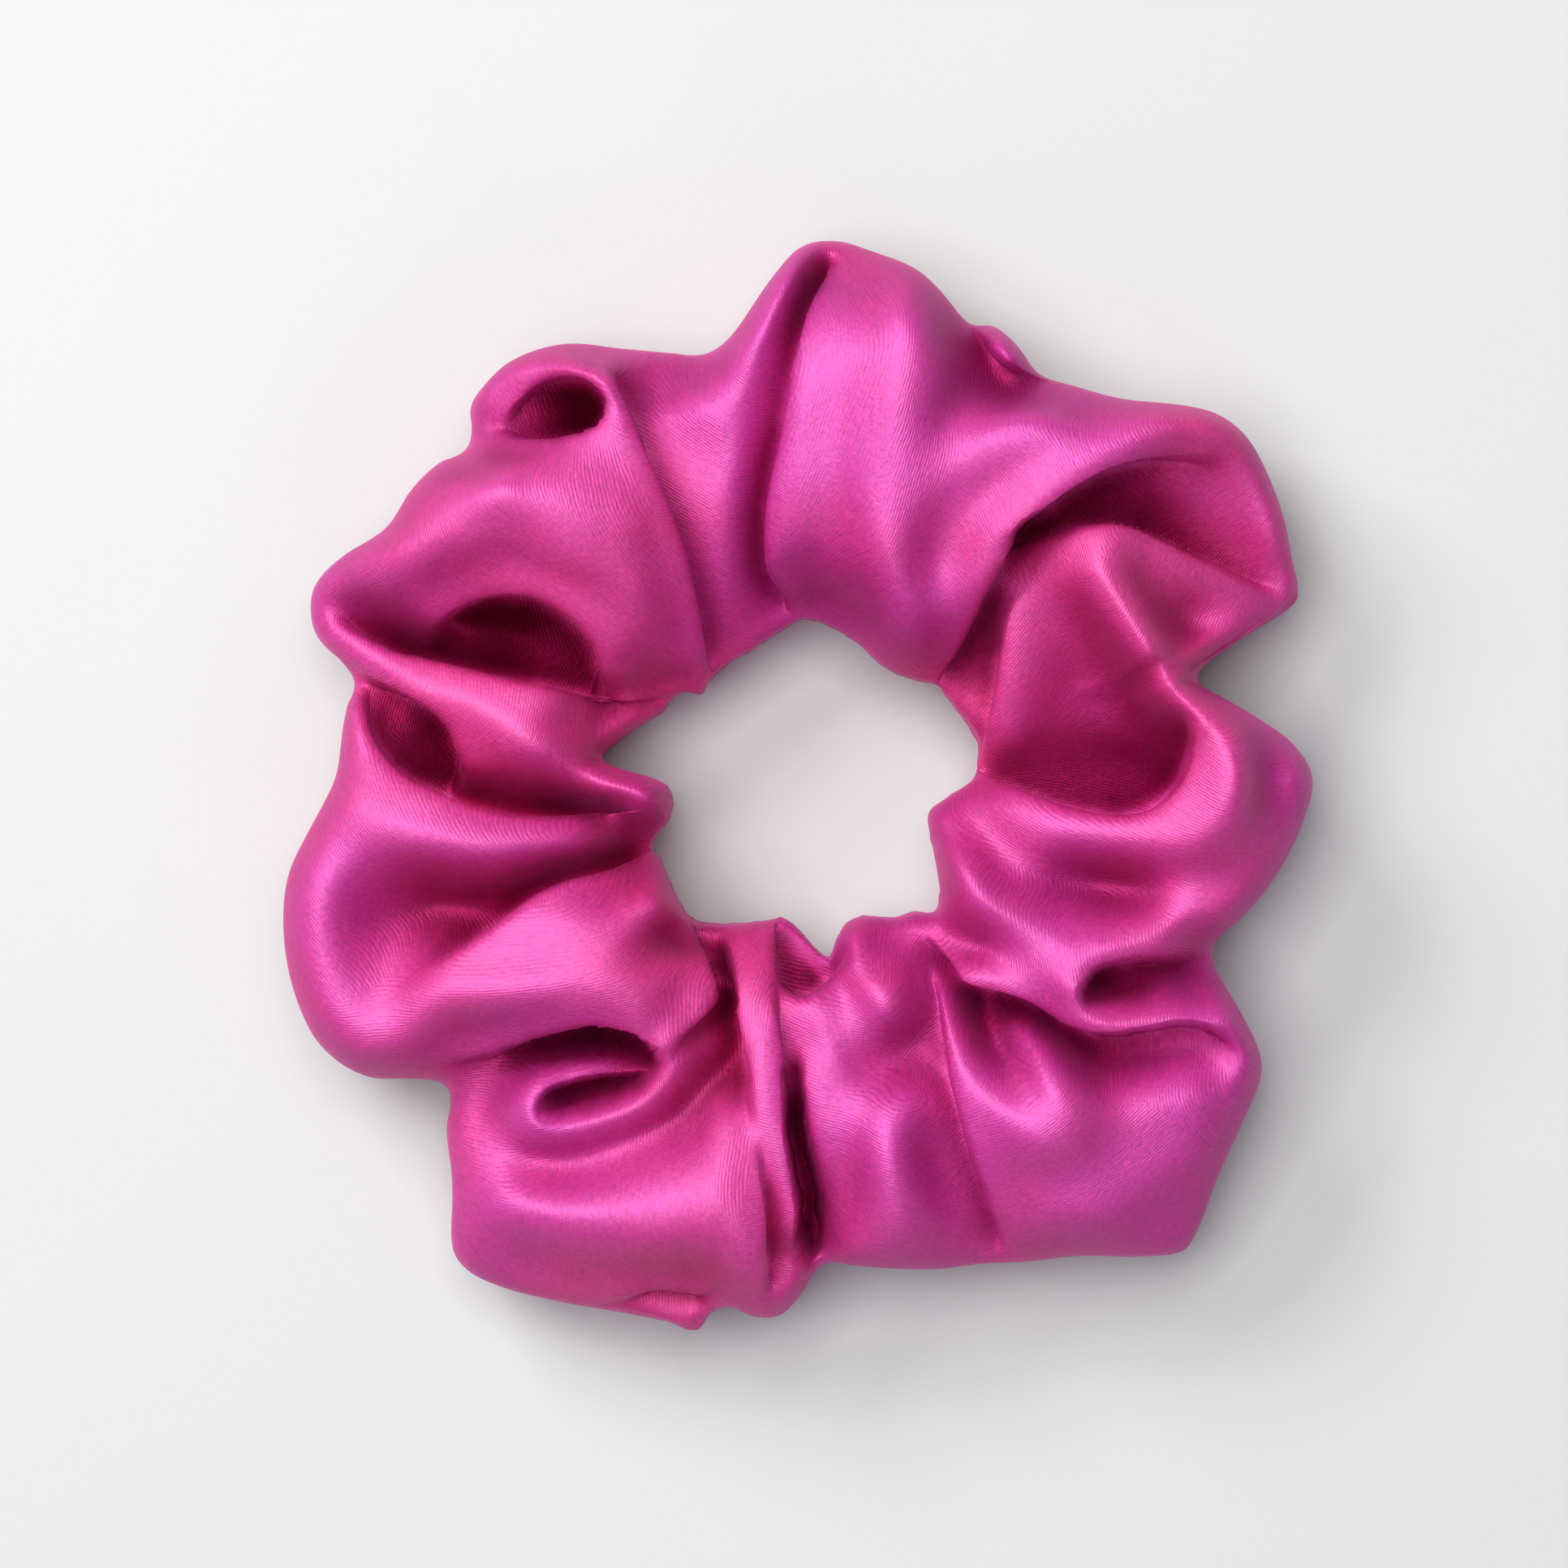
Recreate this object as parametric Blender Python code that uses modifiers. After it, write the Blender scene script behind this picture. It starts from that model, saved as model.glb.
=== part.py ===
"""A gathered satin scrunchie: one stitched cloth tube over a loop of elastic.

Metres, +Z up. It lies flat on z = 0, with the middle of its outline box over the origin.
The cloth is one rectangle. Its long edges meet in a seam at the hole, with both seam
allowances inside the tube, and its two ends meet edge to edge at the closing seam.
"""

import math

import bpy
import numpy as np

MM = 0.001

# Cloth
WALL = 0.6  # modelled thickness of the satin
RIM = 12.0  # height of the widest line of the tube, outside and in the hole
HEIGHT_LOW = 28.0  # tube height in a valley between two lobes
HEIGHT_HIGH = 33.5  # tube height on a lobe
BELOW_FLOOR = 1.5  # how far the round section would dip under z = 0 before it is flattened
SECTION_POWER = 2.3  # 2 is an ellipse, more is squarer
SEAM_ANGLE = 4.5  # the long seam sits this far below the innermost line of the tube
ALLOWANCE = 7.0  # width of each seam allowance inside the tube
SEAM_GAP = 0.4  # between the two allowances
CLOSING_AZIMUTH = 66.0  # where the two ends of the tube meet
CLOSING_GAP = 0.7
AROUND = 104  # stations along the tube
ACROSS = 17  # stations round its section
ON_FLAP = 2

# Outer and inner edge of the ring seen from above: (azimuth in degrees, radius)
OUTER = (
    (1, 56.5), (9, 50), (16, 46), (21, 58.5), (37, 62.5), (50, 55.5), (60, 52.5), (66, 54.5),
    (76, 58), (84, 60.5), (91, 58.5), (102, 49.5), (118, 55.5), (130, 56), (140, 53.5), (158, 57.5),
    (168, 50), (178, 51), (192, 58), (207, 59.5), (220, 51), (235, 64.5), (250, 61.5), (259, 61.2),
    (267, 58), (273, 53), (294, 58), (309, 66.5), (328, 60.5), (340, 49.5), (348, 52),
)
INNER = (
    (7, 18.5), (20, 19.8), (37, 19), (59, 16.3), (80, 18), (100, 17.2), (122, 15.6),
    (144, 17), (160, 18.8), (172, 21), (188, 14.5), (203, 17), (232, 18.5), (263, 14.7),
    (280, 18.6), (292, 15.9), (317, 20), (333, 17), (349, 14.8),
)

# Elastic
HOLE_CENTRE = (1.5, 0.9)
ELASTIC_RADIUS = 29.0
ELASTIC_WIDTH = 6.0
ELASTIC_THICK = 1.0
ELASTIC_BOTTOM = 2.6
ELASTIC_LAP = 18.0  # length of the sewn overlap
ELASTIC_SPREAD = 1.5  # how much the radius grows from one end to the other
ELASTIC_LAP_AZIMUTH = 66.0

# Thread
THREAD = 0.32
THREAD_GAP = 0.3
SEAM_STITCH_IN = 1.6  # the row of stitches lies this far inside the fold of the seam
CLOSING_STITCHES = 17
CLOSING_REACH = 1.5  # how far each closing stitch goes either side of the gap
TACK_TURNS = 7
NO_SHIFT = (0.0, 0.0)

SATIN = ("magenta_satin", (0.61, 0.045, 0.27), 0.34)
SEAM_THREAD = ("tube_seam_thread_magenta", (0.52, 0.03, 0.22), 0.5)
CLOSING_THREAD = ("closing_thread_magenta", (0.56, 0.04, 0.26), 0.5)
ELASTIC = ("white_braided_elastic", (0.82, 0.81, 0.79), 0.8)
TACK_THREAD = ("white_tacking_thread", (0.86, 0.85, 0.83), 0.6)


def clear_scene():
    for obj in list(bpy.data.objects):
        bpy.data.objects.remove(obj)


def new_collection():
    found = bpy.data.collections.new("scrunchie")
    bpy.context.scene.collection.children.link(found)
    return found


def material(spec, suffix=""):
    name, colour, roughness = spec
    made = bpy.data.materials.new(name + suffix)
    made.use_nodes = True
    shader = made.node_tree.nodes["Principled BSDF"]
    shader.inputs["Base Color"].default_value = (*colour, 1.0)
    shader.inputs["Roughness"].default_value = roughness
    shader.inputs["Metallic"].default_value = 0.0
    made.diffuse_color = (*colour, 1.0)
    return made


def smooth_ring(table, azimuth):
    """The table's radius at this azimuth, eased between its points."""
    points = sorted(table)
    points = [(points[-1][0] - 360, points[-1][1]), *points, (points[0][0] + 360, points[0][1])]
    at = azimuth % 360
    for (a, first), (b, second) in zip(points, points[1:]):
        if a <= at <= b:
            share = (at - a) / (b - a)
            eased = 0.5 - 0.5 * math.cos(math.pi * share)
            return first + (second - first) * (0.4 * share + 0.6 * eased)
    return points[0][1]


def section_point(azimuth, angle):
    """(radius, height) on the section at this azimuth. Angle 0 is innermost, 90 the top."""
    inner = smooth_ring(INNER, azimuth)
    outer = smooth_ring(OUTER, azimuth)
    share = (outer - 46.0) / 20.5
    height = HEIGHT_LOW + (HEIGHT_HIGH - HEIGHT_LOW) * min(1.0, share)
    across = math.cos(math.radians(angle))
    up = math.sin(math.radians(angle))
    power = 2 / SECTION_POWER
    radial = -math.copysign(abs(across) ** power, across)
    vertical = math.copysign(abs(up) ** power, up)
    half = (outer - inner) / 2
    radius = (outer + inner) / 2 + radial * half
    reach = height - RIM if up > 0 else RIM + BELOW_FLOOR
    return radius, max(0.0, RIM + vertical * reach)


def section_path(azimuth):
    """The cloth's path round one section: allowance tip, seam, over the top, under, seam, tip."""
    # The loop stops short of the seam on both sides, which leaves the gap between allowances.
    start, end = -SEAM_ANGLE, 360 - SEAM_ANGLE
    seam_radius, seam_z = section_point(azimuth, -SEAM_ANGLE)
    steps = np.linspace(start, end, ACROSS)[1:-1]
    loop = [section_point(azimuth, angle) for angle in steps]
    upper = seam_z + SEAM_GAP / 2
    lower = seam_z - SEAM_GAP / 2
    out = [seam_radius + ALLOWANCE * i / ON_FLAP for i in range(ON_FLAP + 1)]
    flap_a = [(r, upper) for r in reversed(out)]
    flap_b = [(r, lower) for r in out]
    return [*flap_a, *loop, *flap_b]


def at(azimuth, radius, z):
    turn = math.radians(azimuth)
    return (radius * math.cos(turn), radius * math.sin(turn), z)


def stations():
    """Azimuths along the tube, from one side of the closing gap round to the other."""
    half_gap = math.degrees(CLOSING_GAP / 2 / 38.0)
    first = CLOSING_AZIMUTH + half_gap
    last = CLOSING_AZIMUTH + 360 - half_gap
    return np.linspace(first, last, AROUND)


def cover_points():
    return [[at(azimuth, r, z) for r, z in section_path(azimuth)] for azimuth in stations()]


def box_middle(rows):
    points = np.array(rows).reshape(-1, 3)
    low, high = points.min(axis=0), points.max(axis=0)
    return (low[0] + high[0]) / 2, (low[1] + high[1]) / 2


def placed(point, shift):
    return ((point[0] - shift[0]) * MM, (point[1] - shift[1]) * MM, point[2] * MM)


def sheet_object(name, rows, shift, collection, slot):
    """An open sheet of quads from rows of points, before it is given thickness."""
    count = len(rows[0])
    points = [placed(p, shift) for row in rows for p in row]
    faces = []
    for i in range(len(rows) - 1):
        for j in range(count - 1):
            a = i * count + j
            faces.append((a, a + 1, a + count + 1, a + count))
    mesh = bpy.data.meshes.new(name)
    mesh.from_pydata(points, [], faces)
    mesh.materials.append(slot)
    mesh.update()
    made = bpy.data.objects.new(name, mesh)
    collection.objects.link(made)
    return made


def solidify(obj, thickness, offset):
    made = obj.modifiers.new("Thickness", "SOLIDIFY")
    made.thickness = thickness * MM
    made.offset = offset
    made.use_even_offset = False


def thread_object(name, points, shift, collection, slot):
    curve = bpy.data.curves.new(name, "CURVE")
    curve.dimensions = "3D"
    curve.bevel_depth = THREAD / 2 * MM
    curve.bevel_resolution = 1
    curve.use_fill_caps = True
    line = curve.splines.new("POLY")
    line.points.add(len(points) - 1)
    for point, where in zip(line.points, points):
        point.co = (*placed(where, shift), 1.0)
    curve.materials.append(slot)
    made = bpy.data.objects.new(name, curve)
    collection.objects.link(made)
    return made


def satin_cover(rows, shift, collection):
    made = sheet_object("satin_cover", rows, shift, collection, material(SATIN))
    solidify(made, WALL, -1.0)


def tube_seam_thread(name, side, shift, collection, slot):
    """One thread of the long seam, lying along the outside of one allowance."""
    # side is +1 above the upper allowance and -1 below the lower one.
    away = SEAM_GAP / 2 + WALL + THREAD_GAP + THREAD / 2
    points = []
    for azimuth in stations()[1:-1]:
        radius, z = section_point(azimuth, -SEAM_ANGLE)
        points.append(at(azimuth, radius + WALL + SEAM_STITCH_IN, z + side * away))
    thread_object(name, points, shift, collection, slot)


def closing_seam_thread(shift, collection):
    """Slanting stitches over the gap between the two ends, from inside the hole over the top."""
    slant = math.degrees(CLOSING_REACH / 38.0)
    lift = THREAD_GAP + THREAD / 2
    points = []
    for i, angle in enumerate(np.linspace(8, 172, CLOSING_STITCHES)):
        azimuth = CLOSING_AZIMUTH + (slant if i % 2 else -slant)
        radius, z = section_point(azimuth, angle)
        before = section_point(azimuth, angle - 3)
        after = section_point(azimuth, angle + 3)
        along = (after[0] - before[0], after[1] - before[1])
        size = math.hypot(*along)
        # The normal points out of the tube: left of the direction of travel over the top.
        out = (-along[1] / size, along[0] / size)
        points.append(at(azimuth, radius + out[0] * lift * 1.6, z + out[1] * lift * 1.6))
    slot = material(CLOSING_THREAD)
    thread_object("closing_seam_thread", points, shift, collection, slot)


def elastic_radius(turn, total):
    return ELASTIC_RADIUS + ELASTIC_SPREAD * (turn / total - 0.5)


def elastic_spread():
    """(first azimuth, total turn) of the band, in degrees, with its lap at the closing seam."""
    lap = math.degrees(ELASTIC_LAP / ELASTIC_RADIUS)
    return ELASTIC_LAP_AZIMUTH - lap / 2, 360 + lap


def about_hole(azimuth, radius, z):
    x, y, z = at(azimuth, radius, z)
    return (x + HOLE_CENTRE[0], y + HOLE_CENTRE[1], z)


def elastic_band(collection):
    first, total = elastic_spread()
    levels = (ELASTIC_BOTTOM, ELASTIC_BOTTOM + ELASTIC_WIDTH)
    rows = []
    for turn in np.linspace(0, total, 90):
        radius = elastic_radius(turn, total)
        rows.append([about_hole(first + turn, radius, z) for z in levels])
    made = sheet_object("elastic_band", rows, NO_SHIFT, collection, material(ELASTIC))
    solidify(made, ELASTIC_THICK, 0.0)


def elastic_join_thread(name, side, collection, slot):
    """A zigzag bar tack across the lap. side is +1 on the outer face and -1 on the inner."""
    first, total = elastic_spread()
    lap = total - 360
    away = ELASTIC_THICK / 2 + THREAD_GAP + THREAD / 2
    low = ELASTIC_BOTTOM + 0.6
    high = ELASTIC_BOTTOM + ELASTIC_WIDTH - 0.6
    points = []
    for i in range(2 * TACK_TURNS + 1):
        turn = lap * (0.12 + 0.76 * i / (2 * TACK_TURNS))
        turn += 360 if side > 0 else 0
        radius = elastic_radius(turn, total) + side * away
        points.append(about_hole(first + turn, radius, high if i % 2 else low))
    thread_object(name, points, NO_SHIFT, collection, slot)


def build():
    clear_scene()
    collection = new_collection()
    rows = cover_points()
    shift = box_middle(rows)
    satin_cover(rows, shift, collection)
    needle = material(SEAM_THREAD, "_needle")
    bobbin = material(SEAM_THREAD, "_bobbin")
    tube_seam_thread("tube_seam_needle_thread", 1, shift, collection, needle)
    tube_seam_thread("tube_seam_bobbin_thread", -1, shift, collection, bobbin)
    closing_seam_thread(shift, collection)
    elastic_band(collection)
    needle = material(TACK_THREAD, "_needle")
    bobbin = material(TACK_THREAD, "_bobbin")
    elastic_join_thread("elastic_join_needle_thread", 1, collection, needle)
    elastic_join_thread("elastic_join_bobbin_thread", -1, collection, bobbin)


build()
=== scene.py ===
"""Looks of the magenta satin scrunchie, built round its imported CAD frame."""

import math

import bmesh
import bpy
import numpy as np
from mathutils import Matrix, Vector


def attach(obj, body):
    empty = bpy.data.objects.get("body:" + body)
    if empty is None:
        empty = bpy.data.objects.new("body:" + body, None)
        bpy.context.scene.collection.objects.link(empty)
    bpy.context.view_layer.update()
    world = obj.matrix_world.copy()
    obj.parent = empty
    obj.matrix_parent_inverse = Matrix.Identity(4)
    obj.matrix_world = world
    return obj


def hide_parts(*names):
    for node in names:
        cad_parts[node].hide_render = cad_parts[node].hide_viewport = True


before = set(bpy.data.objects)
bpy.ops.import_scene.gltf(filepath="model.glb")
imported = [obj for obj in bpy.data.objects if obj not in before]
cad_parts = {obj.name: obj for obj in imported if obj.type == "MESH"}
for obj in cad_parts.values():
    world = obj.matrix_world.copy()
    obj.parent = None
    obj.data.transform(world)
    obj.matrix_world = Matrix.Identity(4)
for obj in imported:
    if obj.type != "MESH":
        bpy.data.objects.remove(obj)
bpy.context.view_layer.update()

MM = 0.001

# ---------------------------------------------------------------- outline, seen from above
# (azimuth in degrees, radius in mm) of the outer and the inner edge of the ring.
OUTER = (
    (1, 56.5), (5, 54.5), (9, 50.5), (13, 46.5), (16, 44.5), (18, 49.5), (20, 57.5), (21.5, 59),
    (25, 59.8), (29, 61), (33, 61.8), (38, 62.5), (42, 61.5), (46, 58.5), (50, 55.5), (56, 53.3),
    (60, 52.4), (63.5, 54), (67, 55), (70, 54.2), (73, 56), (77, 58.3), (82, 59.4), (86, 60.2),
    (90, 59.3), (94, 55), (98, 50.5), (102, 48.6), (106, 49.6), (112, 52), (118, 55.2),
    (124, 56.6), (128, 56.2), (131, 55.2), (134, 51.8), (138, 53.3), (143, 53.8), (148, 53.5),
    (153, 56.2), (157, 57.7), (160, 57.3), (163, 55.3), (166, 50.3), (170, 50.6), (175, 50.7),
    (179, 51), (184, 53.5), (190, 57.2), (197, 59.3), (204, 60.2), (209, 59.8), (214, 57.2),
    (218, 52.2), (221, 50.6), (224, 54), (229, 58.2), (233, 63.5), (235.5, 64.6), (239, 64.2),
    (245, 62.6), (251, 61.2), (256, 60.7), (259.5, 60.8), (261, 57.6), (265, 58.6), (268, 58.2),
    (270.5, 55.5), (272.5, 52.4), (276, 53), (281, 54.1), (286, 55.3), (291, 56.3),
    (295, 57.8), (301, 60.3), (306, 64), (309.5, 66.3), (312, 65.6), (317, 63), (323, 61.2),
    (329, 59.4), (333, 54.5), (336, 50.2), (339, 48.6), (342, 50), (346, 52), (351, 54), (356, 55.6),
)
INNER = (
    (2, 19), (5, 19.6), (9, 19.9), (14, 20.2), (19, 19.8), (25, 19.3), (31, 19), (36, 18.9),
    (42, 17.4), (50, 16.3), (58, 16.2), (68, 17), (78, 17.8), (88, 18.4), (97, 17.2), (108, 16),
    (120, 15.6), (131, 15.2), (137, 14.9), (141, 16.5), (146, 17), (152, 17.2), (158, 18.5),
    (165, 20.2), (170, 21.7), (173, 21.9), (174.6, 19.6), (176, 16.9), (178.5, 15), (182, 14.2),
    (186, 14), (190, 14.2), (195, 15), (199, 16.7), (202.5, 17.6), (207, 17.3), (212, 17.4),
    (224, 18.3), (231, 18.7), (239, 17.6), (248, 16.2), (257, 15.1), (263, 14.6), (270, 15.8),
    (276, 18), (280, 19), (284, 17.2), (289, 15.9), (297, 16), (306, 17.8), (312, 18.6),
    (317, 20.2), (322, 19.6), (330, 17.4), (340, 15.3), (349, 14.6), (356, 16.4),
)
RIM_Z = 12.0  # height of both edges, where the top of the cloth meets its side and inner wall

# ---------------------------------------------------------------- folds on top, mm
# Crests, valleys and levels: (x, y, height) along each.
LINES = (
    # top lobes and their crests
    ((14, 13.8, 17.5), (12.9, 16.5, 22.3), (11.2, 20.5, 26.5), (10, 25, 28.8),
     (10.3, 31, 30.3), (11.8, 38, 31.5), (13.8, 46, 31), (14.2, 51, 28), (14, 55, 21)),
    ((14.3, 23.5, 25), (13.9, 27, 26.5), (14.4, 31, 28.5)),
    ((6, 19.5, 18), (4, 24, 22.5), (3, 30, 26), (4, 40, 28), (5.5, 50, 27), (7, 56, 21)),
    ((-13, 42, 22), (-6.5, 46.5, 25), (-3, 52, 27), (-0.8, 56, 25)),
    ((-8.5, 37, 24), (-8.3, 30, 23.5), (-7.8, 22, 19.5)),
    ((-5.4, 38, 24), (-6, 31, 22.5), (-5.8, 24, 19)),
    ((-15, 45.5, 18), (-9, 44.5, 20)),
    ((20, 47.5, 20), (17.3, 43, 25), (14.8, 37, 29)),
    ((17.2, 35, 29.3), (20, 38, 29.8), (25, 41, 27), (31, 42, 22)),
    ((19, 28, 27.5), (23, 34, 28.5)),
    ((16.4, 14.5, 17), (18.2, 18, 22.5), (20.3, 22.3, 27), (23.6, 27.8, 30.5),
     (28, 32.8, 32.3), (34, 36.6, 32.3), (40, 39, 30), (45, 39.5, 26), (48.5, 36.5, 22),
     (50.6, 32, 20), (52.4, 27, 18.5)),
    ((30, 30.3, 17), (35, 31.5, 18.5), (40, 31.7, 19.5), (45, 30, 19), (49, 27, 17)),
    ((44, 34, 21), (47.5, 31.5, 19.5)),
    # right side: the upper arm, the deep pocket and the bulge
    ((18, 8, 14), (18.4, 12, 14.5), (19.7, 16, 15.5)),
    ((32.5, 27.3, 28.7), (32.6, 24.5, 29.6), (33.8, 20.8, 30.2), (36, 17.2, 30.4),
     (39.2, 12.7, 29.9), (43.3, 8.6, 29.5), (46.6, 5, 29.5), (48.3, 1.5, 29), (47.5, -2.5, 28.5),
     (44, -5.3, 28), (39, -6.2, 27), (33, -6, 25.5), (27, -4.3, 24.5), (22, -2, 21.5)),
    ((38, 25, 24.5), (42, 22.3, 22.5), (46, 20.5, 19.5)),
    ((36, 25, 25), (37.8, 21.7, 23.7), (39.8, 18.4, 22.3), (41.5, 16, 21)),
    ((25, 22, 23), (27, 15, 20.5), (28, 10, 17)),
    ((31, 20, 25), (35.5, 12.5, 21.5), (38.5, 9, 20)),
    ((27, 4.5, 13), (33, 2.5, 11), (38, 3.5, 12.5), (36, 7.5, 16)),
    ((53, 0, 22), (51, 5, 21), (52, -6, 21)),
    ((25, -8.7, 21.3), (29, -9.6, 19), (33, -10, 18.3), (37, -10.2, 19.5)),
    ((28, -12, 20.3), (34, -12.8, 19.8), (38.5, -12.3, 21)),
    ((40.5, -10.3, 23.5), (43, -8, 25.5)),
    ((45.5, -12, 23), (47.5, -9.5, 23)),
    ((16.6, -1, 15.5), (16.2, -5, 19), (16.6, -9, 22.5), (18.5, -13, 24.3), (24, -16, 25)),
    ((19, -1.5, 17), (20.5, -6, 20), (22.5, -10.5, 22.3)),
    ((45.5, -15.2, 22), (40.5, -16.3, 26), (35, -17, 27.3), (31.3, -18.8, 27.5),
     (29.7, -21.5, 27.5), (31, -24.3, 27.5), (35, -25.8, 27), (40, -25.9, 26.5),
     (44.5, -25.8, 25.5), (47.7, -27.8, 23), (48.6, -31, 21)),
    ((33.5, -22.3, 20), (38, -21.6, 20), (42, -21, 18.5)),
    ((35, -24, 23.5), (40, -23.9, 22.5), (44, -23.6, 20.5)),
    ((18.3, -17, 17), (21, -19.5, 21), (26, -20.5, 25)),
    ((30.5, -29, 18.5), (36, -29.7, 19), (42, -29, 20), (46, -29.3, 20)),
    # bottom right: the cone, the big flat panel
    ((14.6, -18, 16), (15.5, -22, 21.5), (16.9, -27, 24.5), (19.4, -32, 26), (22.3, -36, 27.5),
     (26, -39, 28), (29.3, -37.5, 28)),
    ((18, -23.8, 15.3), (20, -26.2, 17), (22.2, -28.9, 19.5)),
    ((23, -32.8, 24.5), (24.8, -35, 27.5), (26.5, -37, 28.5)),
    ((22.5, -24.6, 20), (26.5, -28, 24), (29.5, -31.5, 26.5), (31, -35.5, 27.5)),
    ((38, -34, 24.5), (45, -33, 22.5), (47, -36, 20)),
    ((22.5, -42.5, 23.3), (27, -43, 24.3), (31.5, -41, 24.8), (34, -37, 25)),
    ((33, -44, 23.5), (37, -38.5, 23.7), (41, -37, 23.2)),
    ((38, -42, 23), (43, -41, 21)),
    ((25, -47, 22), (33, -48, 21), (41, -47, 17.5)),
    # bottom: the panel with the dimple, and the narrow roll
    ((4.6, -18.3, 18.5), (7, -17, 18.5)),
    ((0.8, -19.8, 13), (2, -19, 12.5)),
    ((2.5, -25, 22), (3.8, -31, 22.5)),
    ((7, -21.3, 23.3), (9, -22.2, 24), (11.6, -24.3, 23)),
    ((7, -18, 19), (11.5, -18.5, 19)),
    ((13.6, -26.8, 18), (11.6, -29.4, 18), (9.2, -31.5, 20)),
    ((11.5, -33.5, 24), (9.3, -37.5, 25.5), (9.8, -42, 25.5), (13, -46.5, 22.5), (16, -50, 18)),
    ((13.5, -39, 21.5), (16, -44, 19)),
    ((5, -38, 22.5), (3.8, -45, 18)),
    ((-6.3, -18, 18), (-5.2, -22, 22), (-4.3, -27, 24), (-3.3, -33, 25.2), (-2.6, -38, 25.4),
     (-1.7, -43, 25), (-0.8, -47, 24.3), (-0.2, -51, 22.5), (-0.1, -54, 19.5)),
    ((-2.5, -46, 21.5), (-2.2, -50, 20.5), (-2.2, -53, 18.5)),
    ((-3.8, -56, 18.5), (-2.2, -57, 17), (-0.6, -56, 17)),
    ((-9, -35, 22.5), (-8, -39, 25), (-6.5, -44, 26), (-5.6, -49, 25.5), (-5.2, -53, 22.5)),
    # bottom left: the flat panel under the rolled pleats
    ((-34, -39, 18.5), (-28, -40, 19), (-20, -39.6, 20), (-11, -36.8, 20)),
    ((-32, -44, 22), (-25, -45.8, 24), (-18, -46, 25.3), (-12, -43.5, 25.8)),
    ((-32, -50, 18.5), (-24, -52, 19.5), (-14, -52, 21.5)),
    ((-17, -57.3, 14), (-13, -57.5, 14)),
    ((-37, -24.8, 25.5), (-31.5, -24.1, 27.5), (-25.5, -23.3, 28.5), (-20, -24.3, 28),
     (-16, -26.5, 27), (-14.3, -29, 25.5)),
    ((-32, -31.6, 19), (-26, -29.8, 18.5), (-20, -29.3, 18.5)),
    ((-16, -30.6, 20), (-20, -30.6, 20.5), (-25, -31.3, 22), (-28, -32.8, 23), (-29.3, -35, 24),
     (-27.6, -37, 24.3), (-24, -37.1, 24.5), (-20, -35.8, 24.6), (-16, -33.2, 24.6),
     (-12, -29.4, 24), (-9, -26, 22)),
    ((-26.6, -34.6, 17), (-23.5, -33.7, 16), (-19, -32.7, 17)),
    ((-33.5, -33.5, 17), (-35.5, -36.5, 17)),
    ((-25, -39, 20), (-17, -37, 19), (-11.5, -33.5, 18.7), (-8.3, -29.5, 17)),
    # left: the balloon, the long bands and the knob
    ((-12.5, -12, 21.5), (-20, -16.5, 27.5), (-28, -19.5, 28.3), (-38, -21.5, 27.5),
     (-45, -26, 24)),
    ((-13.5, -18.5, 23.5), (-11.5, -22, 24.5)),
    ((-49, -5, 25), (-51, -13, 24.5), (-51.3, -20, 24), (-49.5, -26, 23.5), (-45, -28.3, 24)),
    ((-45, -14.5, 19), (-39, -12.3, 17), (-36.3, -15, 17.5)),
    ((-44, -20, 21.5), (-47, -17, 21)),
    ((-48, 1, 24.5), (-44, -3, 27), (-38, -5.5, 27.8), (-30, -6.5, 27), (-24, -6.3, 25)),
    ((-47, 6.5, 22.5), (-45.5, 3.3, 24.5), (-42, 0, 26.5)),
    ((-44, 6, 17), (-40.3, 5, 14), (-38.5, 1.8, 13.5)),
    ((-50.5, 16, 17.5), (-45, 12.7, 21.5), (-38.5, 9.4, 24.5), (-32, 6.7, 26), (-27, 4.3, 25.3),
     (-23.8, 3, 21)),
    ((-34, 1.5, 20.5), (-28.5, 0.2, 19.5)),
    ((-23.5, -0.6, 20), (-20.5, -1.2, 22), (-18, -1.8, 22.5), (-16.5, -2.2, 21.5)),
    # upper left: the pocket, the bright dome and the rolled mouth
    ((-37, 16.2, 15.5), (-31.5, 15.5, 11.5), (-26.5, 13.5, 9.5)),
    ((-50.3, 19, 15), (-47, 18.1, 14.5), (-43, 16.3, 14.5)),
    ((-50, 22.3, 19), (-46, 21, 21), (-41.5, 20, 22)),
    ((-45, 26.5, 23), (-41, 30, 26), (-36, 33.5, 27.5), (-30, 35.3, 29.5), (-24, 35.6, 30.5)),
    ((-38, 25.5, 28), (-30, 28, 31), (-23, 24.5, 30), (-18, 29, 30)),
    ((-17.5, 22, 27.5), (-14.5, 17, 22), (-17.5, 13, 19.5)),
    ((-31.8, 43.4, 20), (-28.3, 45.3, 23.5), (-24.4, 46, 26), (-21, 44.9, 28),
     (-19.6, 41.8, 29.5), (-20.6, 38.8, 30.3)),
    ((-31, 40.1, 21), (-28, 41, 20), (-25, 41.4, 18), (-23.2, 41.2, 15.5)),
    ((-34.3, 43.9, 18.5), (-30.5, 44.2, 21)),
    ((-33.3, 41.7, 16.5),),
    ((-27.6, 45.9, 21),),
    ((-24, 47.4, 17), (-17, 46.8, 17.5)),
)
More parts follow.
